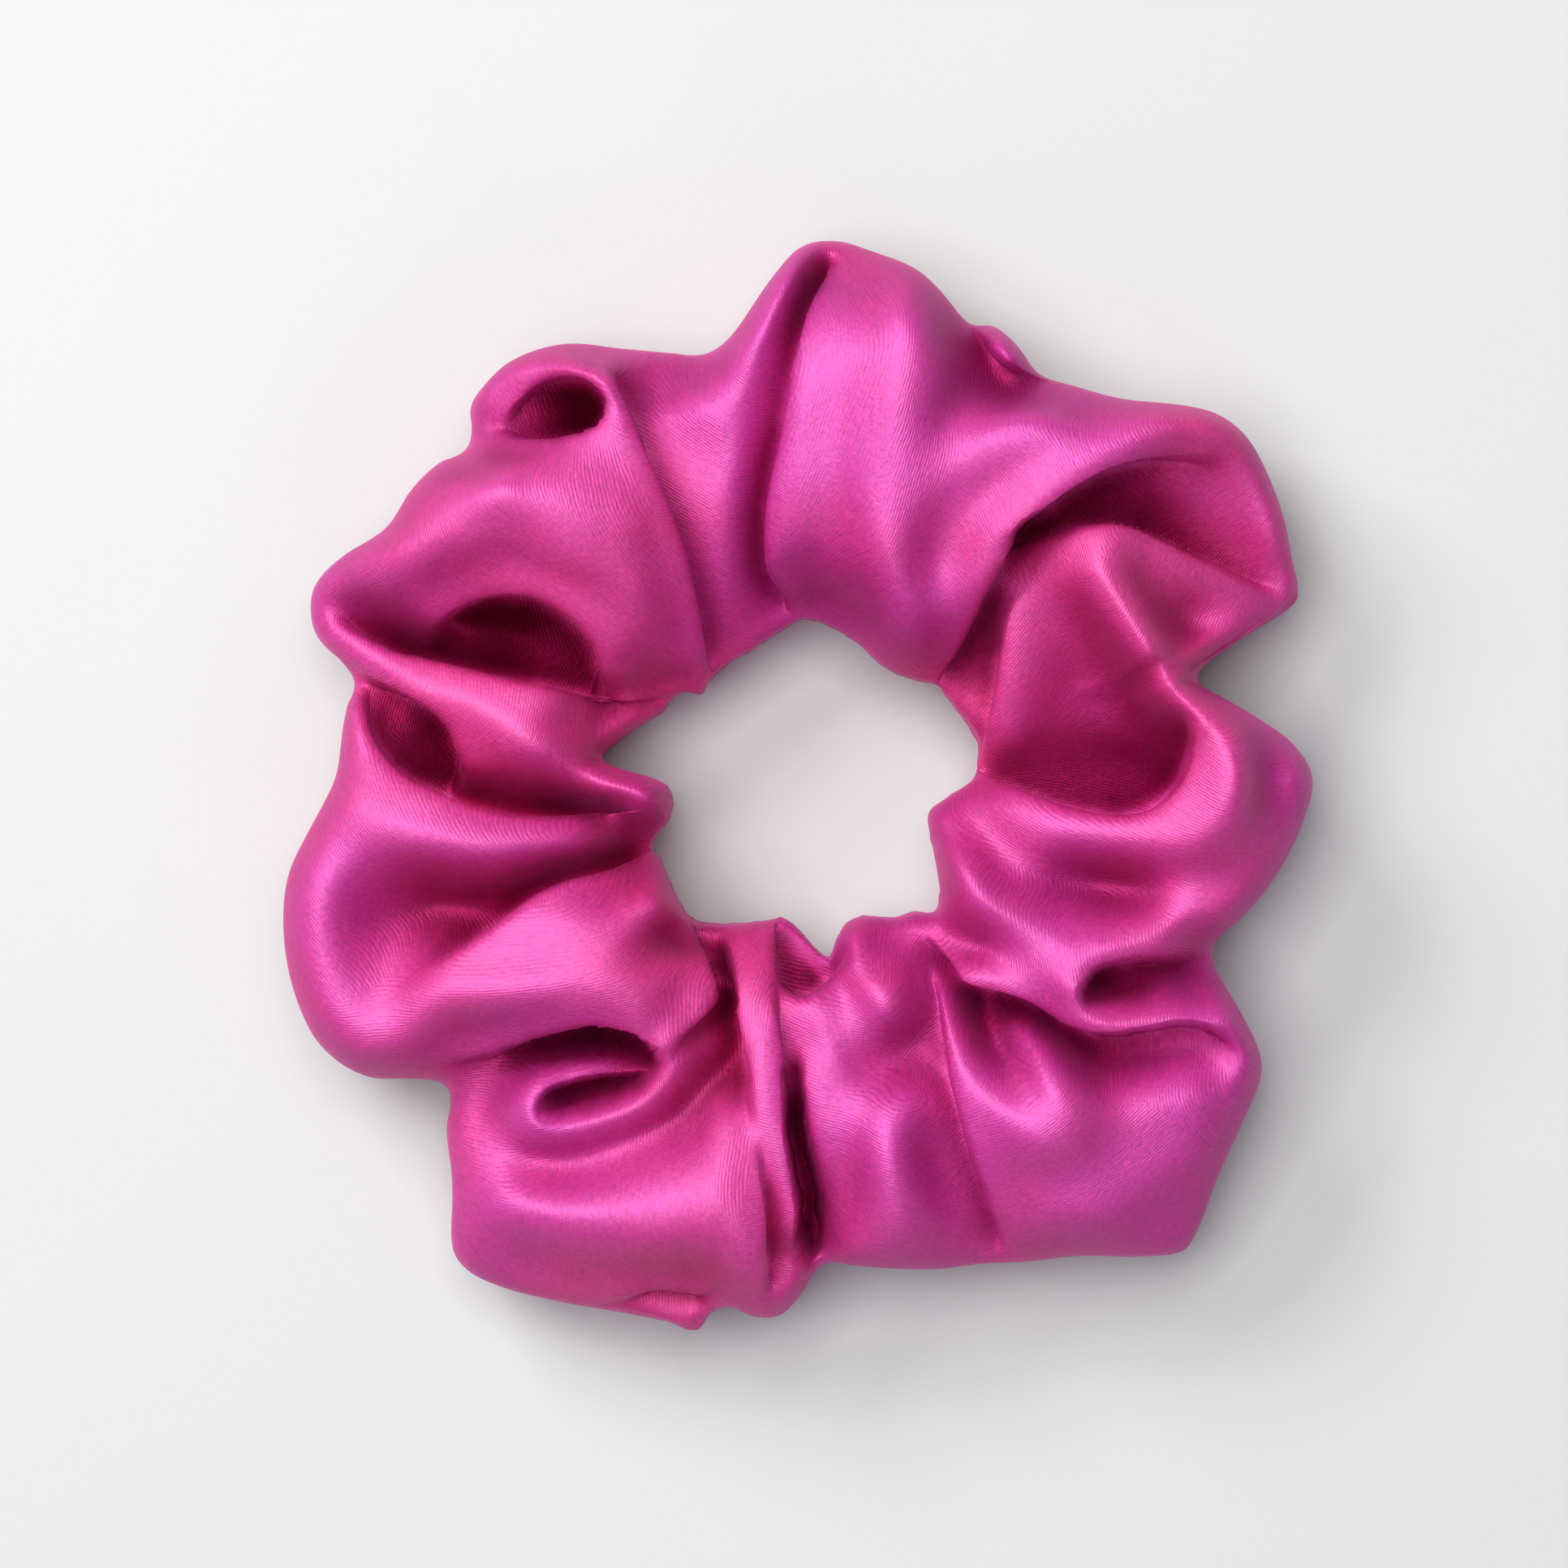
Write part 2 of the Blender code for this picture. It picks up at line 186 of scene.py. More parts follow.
# Edges where one fold lies over the next: 1 if the upper one is on the left of the direction
# of travel, -1 if on the right, then (x, y, upper height, lower height) along it.
EDGES = (
    (-1, ((-2.2, 21.4, 18.5, 14), (-3.6, 23.6, 21.5, 15.5), (-3.9, 26, 23.5, 17),
          (-3.7, 31, 26, 19), (-2.2, 38, 27.5, 21), (-1, 44.6, 28, 22.5), (-0.1, 50, 26.5, 21),
          (1.3, 53.8, 24.5, 17.5), (2.8, 56.3, 21.5, 15.5))),
    (1, ((15.6, 12, 15, 12), (17.6, 15, 20, 14.5), (19.6, 19, 24.5, 18), (21.6, 23, 27.5, 21.5),
         (23.7, 26.7, 29.3, 18.5), (26, 29.4, 30.3, 17), (29, 31.6, 31, 17),
         (33, 33.9, 30.5, 19), (38, 35.3, 28.5, 21), (43, 35.6, 25, 22))),
    (-1, ((24.6, 26.4, 23.5, 18.5), (27.5, 27.6, 25.5, 17), (31.5, 28.9, 27.5, 16.5),
          (35, 28.9, 27.5, 17), (39, 27.4, 25.5, 16.5), (44, 25, 22.5, 16),
          (49, 22.6, 19, 15), (52.5, 20.9, 16.5, 14.5))),
    (-1, ((20.3, 5.5, 16.5, 14), (21.1, 10, 19.5, 15.5), (21.8, 15, 21.5, 17.5),
          (22.3, 19, 22.5, 20))),
    (1, ((18.6, 51.5, 19, 16), (20, 48.8, 22, 17.5), (21.4, 46.5, 24, 20),
         (23.6, 45.2, 24.5, 20.5), (26, 44.5, 21, 18))),
    (-1, ((17.6, 2.2, 13.5, 12), (20.3, 1.5, 16.5, 12), (23, 0.3, 20, 11.5), (27, -1.3, 23, 10.5),
          (31, -2.6, 24.5, 10), (35, -3, 25.5, 10), (38.5, -2.1, 26.5, 10.5),
          (41, 0.4, 27.3, 12.5), (42.2, 3.5, 27.5, 16.5), (42.2, 6.5, 27.3, 20.5))),
    (-1, ((44.5, -18, 19, 16), (40, -18.9, 24, 18.5), (35.5, -19.4, 26, 19),
          (32.2, -20.4, 26.7, 19.5), (31, -22, 26.7, 21))),
    (1, ((15.9, -19, 20.5, 16), (18.3, -21.8, 23.5, 15.5), (22.3, -22.8, 24.5, 15.5),
         (26, -24.2, 25, 16.5), (29.3, -26.3, 26, 18), (32.8, -27.3, 26.3, 18.5),
         (37, -26.8, 26, 19), (42.5, -25.9, 25.5, 19.5), (46.5, -27.2, 23.5, 20))),
    (1, ((14.7, -20, 18.5, 17.5), (15.2, -24, 21, 17.5), (15.7, -28, 23.5, 19), (16.5, -33, 25, 20.5),
         (18.2, -39, 25, 20), (20.3, -45, 22, 17.5), (22.3, -50, 18.5, 14.5))),
    (-1, ((-2.6, -16.6, 17, 13), (-2.4, -19.5, 20, 13.5), (-1.6, -22, 21.3, 14.5),
          (0.2, -22.9, 21.6, 15), (2.2, -21.8, 21.4, 14.5), (3.9, -20.2, 19.5, 13.5))),
    (-1, ((-2.6, -23.5, 22, 20), (-1.8, -28, 23.5, 20.5), (-1.2, -33, 24.3, 19),
          (-0.9, -38.5, 24.6, 14), (-0.4, -43.5, 24, 13), (0.6, -48, 22, 13),
          (1.3, -51.3, 18.5, 13))),
    (1, ((0.1, -32, 22.5, 19.5), (0.9, -38, 22.3, 15), (2, -43, 20.5, 13),
         (2.4, -47, 18.5, 13), (1.9, -50.5, 16.5, 13))),
    (1, ((-8, -18.5, 18.5, 15), (-7.4, -22, 22, 13), (-6.8, -26, 23.8, 16.5),
         (-6.1, -30, 24.5, 18), (-5.4, -34, 24.6, 21.3), (-4.8, -37.4, 24.7, 23.9))),
    (-1, ((-4.6, -38.6, 24.9, 24), (-3.9, -42.5, 25.5, 22.3), (-3.4, -46, 25.8, 20.5),
          (-3.3, -50, 25.3, 19.5), (-3.5, -54, 22.5, 18))),
    (-1, ((-12.2, -14.6, 18, 15), (-10.6, -17.5, 21, 14.5), (-9.1, -20.6, 23, 14.5),
          (-8.7, -22.6, 23.5, 15), (-9.9, -24.8, 24, 18), (-12.2, -27, 24.5, 20.5))),
    (1, ((-36, -29.9, 21, 18), (-32, -28.8, 23.5, 17), (-27, -27.2, 26, 16),
         (-23, -26.5, 27, 15), (-19, -27.2, 26.7, 15), (-16.6, -28.7, 25.5, 17))),
    (1, ((-27.2, -33.6, 22.5, 17), (-23, -32.3, 22.5, 16), (-18, -31.8, 21.5, 17))),
    (1, ((-16.8, -7.2, 17.5, 12.5), (-20, -8.8, 22, 14.5), (-25, -10, 26, 15.5),
         (-29.5, -12.1, 27.2, 16), (-33, -14.7, 27.2, 17.5), (-37.5, -17.8, 26, 22))),
    (-1, ((-47.6, 9, 19, 16.5), (-46, 4.6, 22.5, 16.5), (-43.3, 1.7, 24.8, 15.5),
          (-38, -0.9, 26.3, 14), (-33, -2.6, 26.3, 15), (-28, -3.3, 25.3, 14.5),
          (-23.5, -3, 22.5, 12), (-20, -2.8, 18, 14))),
    (-1, ((-49, 17.3, 18, 15), (-44.5, 15.1, 20.5, 12.5), (-38, 13.4, 23, 9.5),
          (-33, 12.1, 24.5, 9), (-27, 10.9, 24.5, 8.5), (-23.4, 10, 20.5, 9.5))),
    (1, ((-21.7, 9.4, 19, 16.5), (-19, 9.2, 18, 15.5), (-16, 9.6, 16, 13.5))),
    (1, ((-47.5, 11.8, 18.5, 15.5), (-43, 9.6, 21.8, 15.5), (-39.6, 7.5, 23, 14),
         (-38, 5, 23, 13.5), (-37.5, 2.3, 21.5, 13.5))),
    (1, ((-39, 17.6, 21.5, 15.5), (-36, 19.6, 23.5, 12.5), (-32, 20.5, 25.5, 10.5),
         (-28, 20, 26.3, 9), (-25, 18.2, 26, 8), (-22.9, 15.6, 24.3, 7.5),
         (-22.3, 12.6, 21.5, 8.5))),
    (-1, ((-19.6, 43.5, 26.5, 21), (-18.1, 40, 28, 22.5), (-15.9, 35, 28.5, 23),
          (-13.9, 30, 27.5, 22.5), (-12, 24.5, 25, 20.5), (-10.8, 19, 21.5, 17),
          (-10.1, 14.5, 18, 13.5))),
    (1, ((-32, 39.8, 21, 20), (-30, 42.2, 23, 19.5), (-27, 44.1, 25, 18.5),
         (-23.6, 44.1, 27, 17), (-21.9, 42.6, 28, 15.5), (-21.6, 40.4, 28.3, 15),
         (-23.2, 38.8, 28.5, 16), (-26, 38.1, 27.3, 18), (-29.5, 38.1, 25.5, 19.5),
         (-33, 38.5, 22, 20))),
    (1, ((-19, -56.3, 18, 14), (-15.5, -55.3, 18.5, 13.5), (-11.3, -56, 18, 13.5))),
)

# Fold panels round the ring: (azimuth where one starts, direction of the weave's ribs there).
PANELS = (
    (12, 150), (37, 35), (64, 165), (92, 62), (118, 20), (150, 155), (172, 40), (205, 100),
    (236, 5), (262, 80), (291, 130), (318, 15), (340, 75),
)

# Rows of the cloth's mesh round the ring, and columns across each stretch of it.
N_AROUND = 960
N_TOP = 130
N_SIDE = 26
N_UNDER = 36
N_WALL = 16
N_FLAP = 8

# Square maps of the plane, for distances from the outline and for the shade in pockets.
MAP_SIZE = 280
MAP_REACH = 70.0  # mm from the middle to each side
SHADE_TURNS = 16
SHADE_REACH = 26  # cells
NO_CLOTH = 4.0  # mm, the height of a cell that the cloth misses

# ---------------------------------------------------------------- how the top is shaped, mm
OUTER_ROLL, INNER_ROLL = 7.0, 5.0  # how far in from each edge the cloth is still rising
SMOOTHING = 3.6
RIDGE = 0.12
LEAST_SHARE = 0.35  # a control point lower than this on the rolled edge is left out
HIGH, ABOVE_HIGH = 29, 0.6  # crests over this height keep only this share of the rest
TOP_EASE = 1.2
TOP_PASSES = 30
CHUNK = 20000

# Fold edges: spacing of their points, how far their jump reaches, and its roll.
LINE_STEP, EDGE_STEP = 2.0, 1.0
EDGE_REACH = 12.0
JUMP_REACH = 5.5
END_FADE, TIP_FADE = 2.2, 1.2
ROLL_SHARE, ROLL_LEAST, ROLL_MOST, ROLL_DEPTH = 0.36, 0.3, 2.4, 0.9
UPPER_OFF, LOWER_OFF = 2.2, 0.4
GATHER_REACH, GATHER_STEP = 2.2, 3
TUCK_MOST, TUCK_STEP = 1.3, 8

# ---------------------------------------------------------------- side, underside, wall, mm
FOOT_IN, HEEL_IN = 9.0, 5.5  # from the outer and the inner edge to the part that lies flat
NOTCH_ROWS, NOTCH_DEPTH, NOTCH_RISE = 90, 6, 4
FOLD_RISE, FOLD_IN = 1.7, 1.3
GATHER_RISE, GATHER_WALL = 0.5, 0.45
UNDER_ELASTIC, UNDER_MOST = 2.0, 4.0  # how high the underside may fold, below the elastic or not
GROOVE, GROOVE_WIDTH = 0.5, 0.45
SEAM_Z = 11.5

# ---------------------------------------------------------------- inside of the tube, mm
HOLE_CENTRE = (1.5, 0.9)
ELASTIC_RADIUS = 29.0
ELASTIC_WIDTH = 6.0
ELASTIC_THICK = 1.0
ELASTIC_BOTTOM = 2.6
ELASTIC_LAP = 18.0
ELASTIC_SPREAD = 1.5
ELASTIC_RIBS = 8
PLAIT = 1.5
POCKET_OVER_ELASTIC, POCKET_ELSEWHERE = 10.4, 6.8  # the lowest that a pocket may reach
ALLOWANCE = 7.0
ALLOWANCE_START = 0.5
ALLOWANCE_UNDER_TOP = 0.55
BETWEEN_ALLOWANCES = 0.12

# ---------------------------------------------------------------- cloth and thread
CLOTH = 0.28  # mm thick
RIB_PITCH = 0.00034  # m
# Painted shade weights: a little on open cloth, much on the seam allowances hidden inside the tube.
OPEN_SHADE, FLAP_SHADE = 0.12, 0.8
THREAD = 0.16  # mm, radius
SEAM_STITCH_IN = 1.6  # mm from the hole's edge
SEAM_STITCHES = 170
STITCH_STEPS = 8
CLOSING_AZIMUTH = 66.0
CLOSING_STITCH = 1.9  # mm
STITCH_REACH = 3  # rows to each side of the closing seam

# ---------------------------------------------------------------- picture, m
CAMERA_HEIGHT = 0.9
FRAME_WIDTH = 0.1727  # at the height of the rim
FLOOR_HALF = 3.0


def ring_radius(table, azimuth):
    """The table's radius at each azimuth, on a smooth periodic curve through its points."""
    a = np.array([p[0] for p in table], float)
    r = np.array([p[1] for p in table], float)
    order = np.argsort(a)
    a, r = a[order], r[order]
    a = np.concatenate([a[-2:] - 360, a, a[:2] + 360])
    r = np.concatenate([r[-2:], r, r[:2]])
    slope = np.zeros_like(r)
    slope[1:-1] = (r[2:] - r[:-2]) / (a[2:] - a[:-2])
    at = np.mod(azimuth - a[1], 360) + a[1]
    i = np.clip(np.searchsorted(a, at, side="right") - 1, 1, len(a) - 3)
    width = a[i + 1] - a[i]
    t = (at - a[i]) / width
    h00 = 2 * t**3 - 3 * t**2 + 1
    h10 = t**3 - 2 * t**2 + t
    h01 = -2 * t**3 + 3 * t**2
    h11 = t**3 - t**2
    return h00 * r[i] + h10 * width * slope[i] + h01 * r[i + 1] + h11 * width * slope[i + 1]


def sampled(field, x, y):
    """field, a square map of the plane, read between its cells."""
    u = np.clip((x + MAP_REACH) / (2 * MAP_REACH) * MAP_SIZE - 0.5, 0, MAP_SIZE - 1.001)
    v = np.clip((y + MAP_REACH) / (2 * MAP_REACH) * MAP_SIZE - 0.5, 0, MAP_SIZE - 1.001)
    i, j = u.astype(int), v.astype(int)
    s, t = u - i, v - j
    low = field[i, j] * (1 - s) + field[i + 1, j] * s
    high = field[i, j + 1] * (1 - s) + field[i + 1, j + 1] * s
    return low * (1 - t) + high * t


def distance_map(table):
    """Distance from each cell of a square map to the nearest point of an outline."""
    azimuth = np.linspace(0, 360, 900, endpoint=False)
    r, a = ring_radius(table, azimuth), np.radians(azimuth)
    px, py = r * np.cos(a), r * np.sin(a)
    middle = (np.arange(MAP_SIZE) + 0.5) / MAP_SIZE * 2 * MAP_REACH - MAP_REACH
    return np.stack([
        np.sqrt(((x - px) ** 2 + (middle[:, None] - py) ** 2).min(axis=1)) for x in middle
    ])


def dome(x, y):
    """0 at both edges of the ring, rising to 1 a few mm in, like a rolled cloth edge."""
    azimuth = np.degrees(np.arctan2(y, x))
    r = np.hypot(x, y)
    out = np.minimum(ring_radius(OUTER, azimuth) - r, sampled(FROM_OUTER, x, y))
    inn = np.minimum(r - ring_radius(INNER, azimuth), sampled(FROM_INNER, x, y))
    out, inn = np.clip(out / OUTER_ROLL, 0, 1), np.clip(inn / INNER_ROLL, 0, 1)
    return np.sqrt(1 - (1 - out) ** 2) * np.sqrt(1 - (1 - inn) ** 2)


FROM_OUTER, FROM_INNER = distance_map(OUTER), distance_map(INNER)


def resampled(points, step):
    """Points every step mm along a smooth curve through a polyline, every column alike."""
    p = np.array(points, float)
    if len(p) == 1:
        return p
    d = np.concatenate([[0], np.cumsum(np.hypot(*np.diff(p[:, :2], axis=0).T))])
    slope = np.gradient(p, d, axis=0)
    n = max(2, int(round(d[-1] / step)) + 1)
    at = np.linspace(0, d[-1], n)
    i = np.clip(np.searchsorted(d, at, side="right") - 1, 0, len(d) - 2)
    width = (d[i + 1] - d[i])[:, None]
    t = ((at - d[i]) / (d[i + 1] - d[i]))[:, None]
    first, second = p[i], p[i + 1]
    return (
        (2 * t**3 - 3 * t**2 + 1) * first
        + (t**3 - 2 * t**2 + t) * width * slope[i]
        + (-2 * t**3 + 3 * t**2) * second
        + (t**3 - t**2) * width * slope[i + 1]
    )


class Edge:
    """A fold edge: where the cloth on one side rolls over and hides the cloth on the other."""

    def __init__(self, side, points):
        self.p = resampled(points, EDGE_STEP)
        self.side = side
        self.low = self.p[:, :2].min(axis=0) - EDGE_REACH
        self.high = self.p[:, :2].max(axis=0) + EDGE_REACH

    def near(self, x, y):
        """(indices, signed distance, distance past the ends, upper, lower, normal) of points.

        The distance is positive on the upper side, where the cloth lies on top.
        """
        box = (x > self.low[0]) & (x < self.high[0]) & (y > self.low[1]) & (y < self.high[1])
        index = np.flatnonzero(box)
        px, py = x[index], y[index]
        a, b = self.p[:-1], self.p[1:]
        step = b[:, :2] - a[:, :2]
        size = (step**2).sum(axis=1)
        best = np.full(len(index), 1e9)
        share = np.zeros(len(index))
        segment = np.zeros(len(index), int)
        past = np.zeros(len(index))
        for k in range(len(step)):
            raw = ((px - a[k, 0]) * step[k, 0] + (py - a[k, 1]) * step[k, 1]) / size[k]
            t = np.clip(raw, 0, 1)
            gap = (px - a[k, 0] - t * step[k, 0]) ** 2 + (py - a[k, 1] - t * step[k, 1]) ** 2
            over = np.zeros(len(index))
            if k == 0:
                over = np.maximum(0, -raw) * math.sqrt(size[k])
            if k == len(step) - 1:
                over = np.maximum(0, raw - 1) * math.sqrt(size[k])
            closer = gap < best
            best[closer] = gap[closer]
            share[closer] = t[closer]
            segment[closer] = k
            past[closer] = over[closer]
        along = step[segment] / np.sqrt(size[segment])[:, None]
        normal = np.stack([-along[:, 1], along[:, 0]], axis=1) * self.side
        foot = a[segment, :2] + share[:, None] * step[segment]
        across = (px - foot[:, 0]) * normal[:, 0] + (py - foot[:, 1]) * normal[:, 1]
        value = a[segment] + share[:, None] * (b[segment] - a[segment])
        return index, across, past, value[:, 2], value[:, 3], normal

    def jump(self, x, y):
        """The height this edge adds: up on its upper side, down on its lower side."""
        out = np.zeros(len(x))
        index, d, past, upper, lower, _ = self.near(x, y)
        step = upper - lower
        end = np.exp(-((past / END_FADE) ** 2))
        fade = np.exp(-((d / JUMP_REACH) ** 2)) * end
        radius = np.clip(ROLL_SHARE * np.abs(step), ROLL_LEAST, ROLL_MOST)
        inside = np.clip(radius - np.where(step > 0, d, -d), 0, radius)
        roll = radius - np.sqrt(np.maximum(radius**2 - inside**2, 0))
        roll = np.where((d > 0) == (step > 0), roll, 0)
        out[index] = (np.where(d > 0, 0.5, -0.5) * step) * fade
        out[index] -= roll * end * ROLL_DEPTH
        return out

    def gather(self, x, y):
        """Moves points towards the edge, so that the mesh follows its line closely."""
        index, d, past, upper, lower, normal = self.near(x, y)
        keep = np.clip(np.abs(upper - lower) / GATHER_STEP, 0, 1)
        keep *= np.exp(-((past / TIP_FADE) ** 2))
        size = np.abs(d)
        wanted = np.where(size < GATHER_REACH, size**2 / GATHER_REACH, size)
        shift = (wanted - size) * np.sign(d) * keep * dome(x[index], y[index]) ** 0.5
        x[index] += shift * normal[:, 0]
        y[index] += shift * normal[:, 1]

    def tuck(self, x, y, weight):
        """How far the cloth of the lower side reaches under the upper: (dx, dy)."""
        out = np.zeros((len(x), 2))
        index, d, past, upper, lower, normal = self.near(x, y)
        step = (upper - lower) * weight[index]
        depth = np.clip(step / TUCK_STEP, 0, 1) * TUCK_MOST * np.exp(-((past / TIP_FADE) ** 2))
        amount = np.where(d < 0, depth * np.exp(-np.abs(d)), 0)
        out[index] = amount[:, None] * normal
        return out


def control_points(folds):
    """(x, y, height) along every line, and along both sides of every fold edge."""
    found = [resampled(line, LINE_STEP) for line in LINES]
    for fold in folds:
        p = fold.p
        along = np.gradient(p[:, :2], axis=0)
        along /= np.hypot(*along.T)[:, None]
        left = np.stack([-along[:, 1], along[:, 0]], axis=1) * fold.side
        found.append(np.column_stack([p[:, :2] + left * UPPER_OFF, p[:, 2]]))
        found.append(np.column_stack([p[:, :2] - left * LOWER_OFF, p[:, 3]]))
    return np.concatenate(found)


def kernel(ax, ay, bx, by):
    """Multiquadric weights between two sets of points."""
    return -np.sqrt((ax[:, None] - bx) ** 2 + (ay[:, None] - by) ** 2 + SMOOTHING**2)


def total_jump(folds, x, y):
    return sum(fold.jump(x, y) for fold in folds)


def fit_heights(folds):
    """Weights of a smooth height field through the control points, less the edges' jumps."""
    p = control_points(folds)
    share = dome(p[:, 0], p[:, 1])
    p, share = p[share > LEAST_SHARE], share[share > LEAST_SHARE]
    target = RIM_Z + (p[:, 2] - RIM_Z) / share - total_jump(folds, p[:, 0], p[:, 1])
    n = len(p)
    system = np.zeros((n + 1, n + 1))
    system[:n, :n] = kernel(p[:, 0], p[:, 1], p[:, 0], p[:, 1])
    system[:n, :n] += np.eye(n) * RIDGE
    system[:n, n] = system[n, :n] = 1
    weights = np.linalg.solve(system, np.append(target, 0))
    return p, weights


def heights(field, x, y):
    """The smooth height field at these points, worked out in chunks to save memory."""
    p, weights = field
    out = np.empty(len(x))
    for a in range(0, len(x), CHUNK):
        b = a + CHUNK
        out[a:b] = kernel(x[a:b], y[a:b], p[:, 0], p[:, 1]) @ weights[:-1] + weights[-1]
    return out


def soft_floor(z, floor, ease):
    """z where it is well above floor, levelling out smoothly towards floor below it."""
    over = (z - floor) / ease
    return floor + ease * (np.maximum(over, 0) + np.log1p(np.exp(-np.abs(over))))


def pocket_floor(x, y):
    """How deep a pocket may go: it stays over the elastic and its seam allowances."""
    off = np.abs(np.hypot(x - HOLE_CENTRE[0], y - HOLE_CENTRE[1]) - ELASTIC_RADIUS + 2)
    share = np.clip((off - 5) / 7, 0, 1)
    ease = share * share * (3 - 2 * share)
    return POCKET_OVER_ELASTIC - (POCKET_OVER_ELASTIC - POCKET_ELSEWHERE) * ease


def evened(grid, passes):
    """The cloth with its small bumps gone and its steep fold edges kept."""
    p = grid.copy()
    for _ in range(passes):
        around = np.roll(p, -1, axis=0) - p
        across = np.zeros_like(p)
        across[:, :-1] = p[:, 1:] - p[:, :-1]
        move = np.zeros_like(p)
        for step, axis in ((around, 0), (across, 1)):
            run = np.hypot(step[..., 0], step[..., 1])
            steep = np.abs(step[..., 2]) / (1.1 * run + 0.05)
            flow = step / ((1 + steep**2) ** 2)[..., None]
            move += flow - np.roll(flow, 1, axis=axis)
        move[:, [0, -1]] = 0
        p += 0.22 * move
    return p


def painted_fold_shade(top):
    """0 on open cloth to 1 deep in a pocket: the share of the sky that folds hide there, used as the
    weight of the shade painted into the satin's colour.
    """
    cell = 2 * MAP_REACH / MAP_SIZE
    z = np.full((MAP_SIZE, MAP_SIZE), NO_CLOTH)
    i = ((top[..., 0] + MAP_REACH) / cell).astype(int).ravel()
    j = ((top[..., 1] + MAP_REACH) / cell).astype(int).ravel()
    np.maximum.at(z, (i, j), top[..., 2].ravel())
    for _ in range(2):  # fills the cells that no point of the mesh falls in
        beside = [np.roll(z, step, axis) for axis in (0, 1) for step in (-1, 1)]
        z = np.where(z < NO_CLOTH + 0.1, np.max(beside, axis=0), z)
    total = np.zeros_like(z)
    for k in range(SHADE_TURNS):
        a = 2 * math.pi * k / SHADE_TURNS
        slope = np.zeros_like(z)
        for d in range(1, SHADE_REACH + 1):
            di, dj = round(d * math.cos(a)), round(d * math.sin(a))
            rise = np.roll(z, (-di, -dj), axis=(0, 1)) - z
            slope = np.maximum(slope, rise / (cell * math.hypot(di, dj)))
        total += 1 / (1 + slope**2)
    hidden = 1 - total / SHADE_TURNS
    for axis in (0, 1) * 3:
        hidden = (np.roll(hidden, 1, axis) + 2 * hidden + np.roll(hidden, -1, axis)) / 4
    return sampled(hidden, top[..., 0], top[..., 1])


def rib_direction(azimuth):
    """The angle of the weave's ribs at each azimuth, one for each fold panel."""
    starts = np.array([p[0] for p in PANELS])
    angles = np.radians([p[1] for p in PANELS])
    return angles[np.searchsorted(starts, np.mod(azimuth, 360), side="right") - 1]


def pleats(azimuth):
    """Fine gathers round the hole, from -1 to 1."""
    a = np.radians(azimuth)
    first = np.sin(53 * a + 2.2 * np.sin(4 * a + 1) + 1.3 * np.sin(11 * a))
    second = np.sin(34 * a + 1.7 * np.sin(7 * a))
    return 0.6 * first + 0.4 * second


def closing_groove(azimuth, r):
    """0 to 1: the line where the two ends of the tube meet."""
    off = np.radians(np.mod(azimuth - CLOSING_AZIMUTH + 180, 360) - 180)[:, None] * r
    return np.exp(-((off / GROOVE_WIDTH) ** 2))


def folds_below(azimuth):
    """Broad shallow folds of the underside, from 0 to 1."""
    a = np.radians(azimuth)
    wave = np.sin(17 * a + 1.8 * np.sin(3 * a) + 1.1 * np.sin(8 * a + 2))
    return np.clip(0.5 + 0.5 * wave, 0, 1) ** 1.6


def top_grid(azimuth, r_in, r_out):
    """The top of the cloth, from the hole's edge to the outer edge."""
    a = np.radians(azimuth)[:, None]
    t = np.linspace(0, 1, N_TOP)
    f = 0.45 * t + 0.55 * (1 - np.cos(np.pi * t)) / 2
    folds = [Edge(side, points) for side, points in EDGES]
    field = fit_heights(folds)
    r = r_in[:, None] + (r_out - r_in)[:, None] * f
    x, y = (r * np.cos(a)).ravel(), (r * np.sin(a)).ravel()
    for fold in folds:
        fold.gather(x, y)
    flat = heights(field, x, y) + total_jump(folds, x, y)
    flat = np.where(flat > HIGH, HIGH + (flat - HIGH) * ABOVE_HIGH, flat)
    share = dome(x, y)
    z = RIM_Z + (flat - RIM_Z) * share
    z = soft_floor(z, pocket_floor(x, y), TOP_EASE)
    z = RIM_Z + (z - RIM_Z) * np.clip(share * 8, 0, 1)
    for shift in [fold.tuck(x, y, share) for fold in folds]:
        x, y = x + shift[:, 0], y + shift[:, 1]
    return evened(np.stack([x, y, z], axis=1).reshape(N_AROUND, N_TOP, 3), TOP_PASSES)


